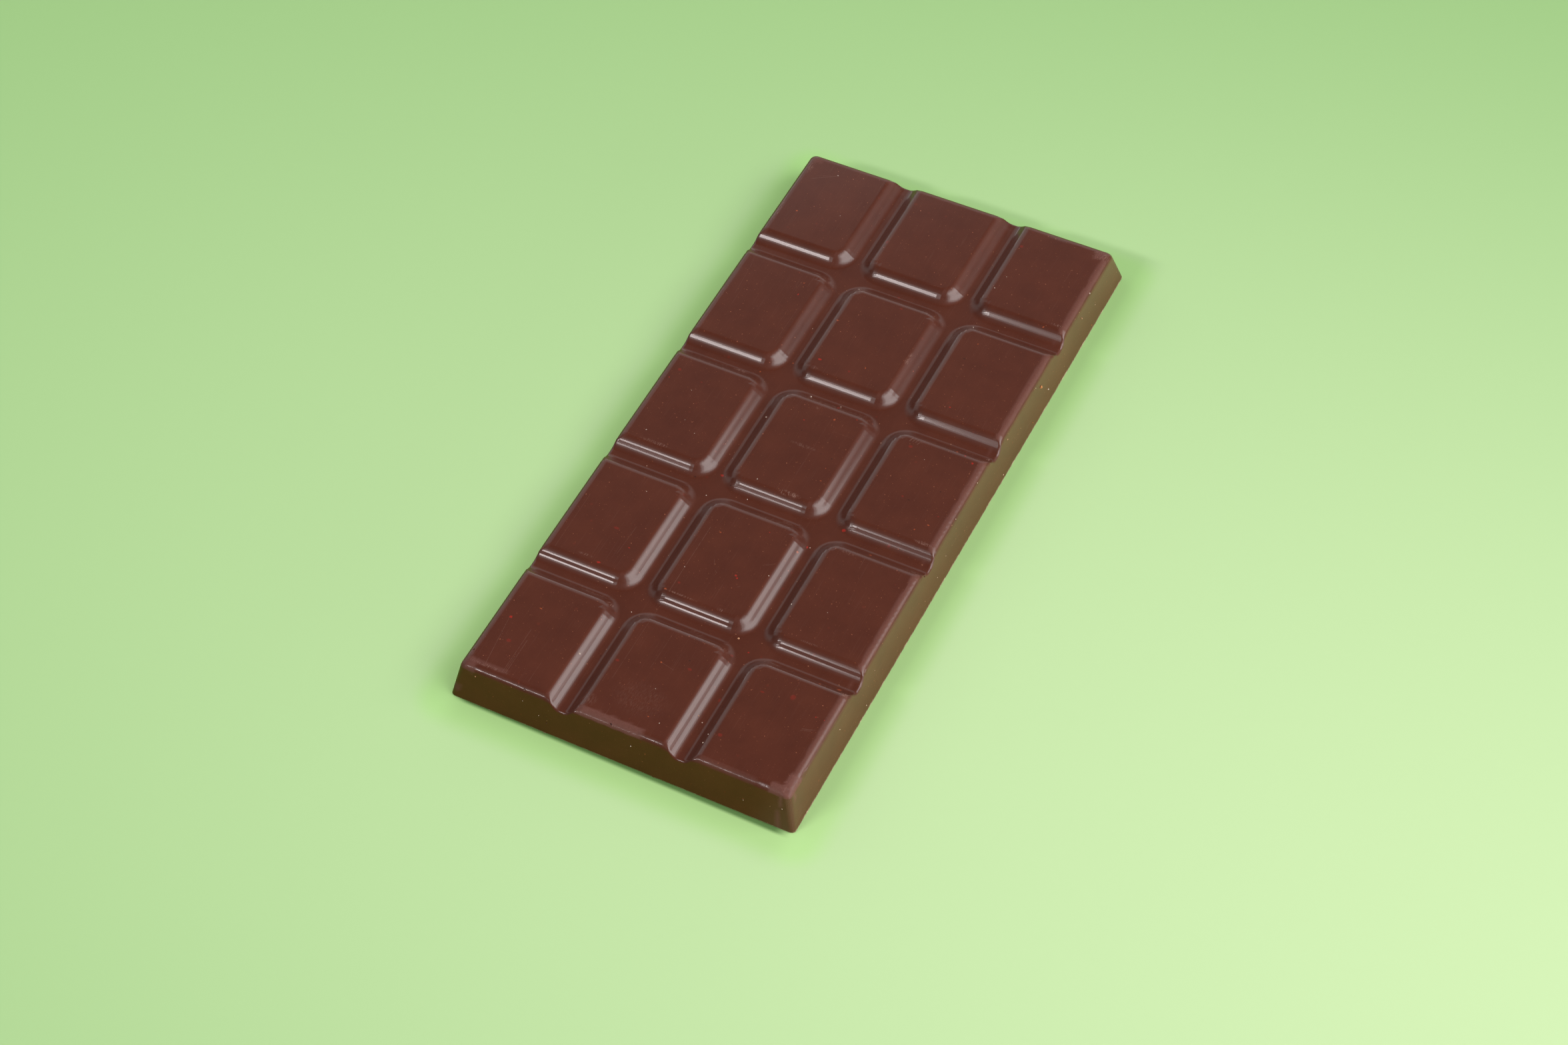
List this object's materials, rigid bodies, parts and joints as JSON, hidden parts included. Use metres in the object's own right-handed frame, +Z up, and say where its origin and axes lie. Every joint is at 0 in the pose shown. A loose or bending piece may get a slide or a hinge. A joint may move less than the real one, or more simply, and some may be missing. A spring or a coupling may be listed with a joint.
{
  "type": "chocolate bar",
  "caption": "Moulded dark chocolate bar: a flat slab whose grooves part it into rounded rectangular pads, with leaning walls and a rounded top rim.",
  "frame": {"origin": "middle of the flat base, on the surface the bar lies on", "axes": "+Z up through the pads, +Y along the length of the bar, +X across its columns"},
  "size_m": [0.0702, 0.1478, 0.0083],
  "materials": {
    "chocolate": "satin"
  },
  "bodies": {
    "root": {"bar": "chocolate"}
  },
  "joints": []
}
